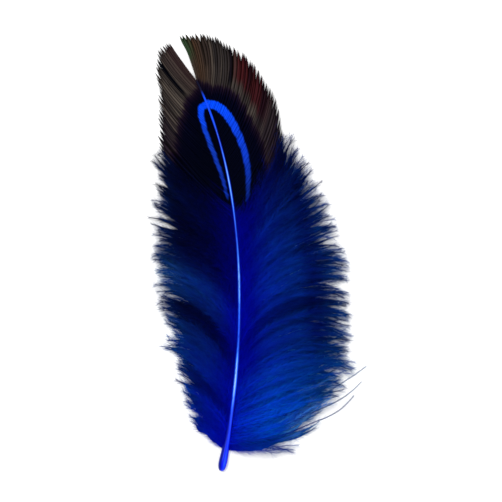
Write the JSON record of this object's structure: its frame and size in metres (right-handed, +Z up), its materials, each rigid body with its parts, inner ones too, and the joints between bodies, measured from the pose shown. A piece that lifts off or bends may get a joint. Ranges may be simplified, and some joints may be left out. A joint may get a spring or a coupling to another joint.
{
  "type": "pheasant feather",
  "caption": "Small dyed body feather lying flat, with a curved shaft, firm two-sided vane at the tip and loose fluffy down below it.",
  "frame": {"origin": "on the flat underside of the bare quill, near its cut end, where the feather rests", "axes": "+Y from the quill towards the tip, +X to the right seen from above, +Z up out of the surface"},
  "size_m": [0.0301, 0.069, 0.005],
  "materials": {
    "quill": "satin",
    "vane": "satin",
    "down": "matte"
  },
  "bodies": {
    "root": {"shaft": "quill", "left_vane": "vane", "right_vane": "vane", "left_down": "down", "right_down": "down"}
  },
  "joints": []
}
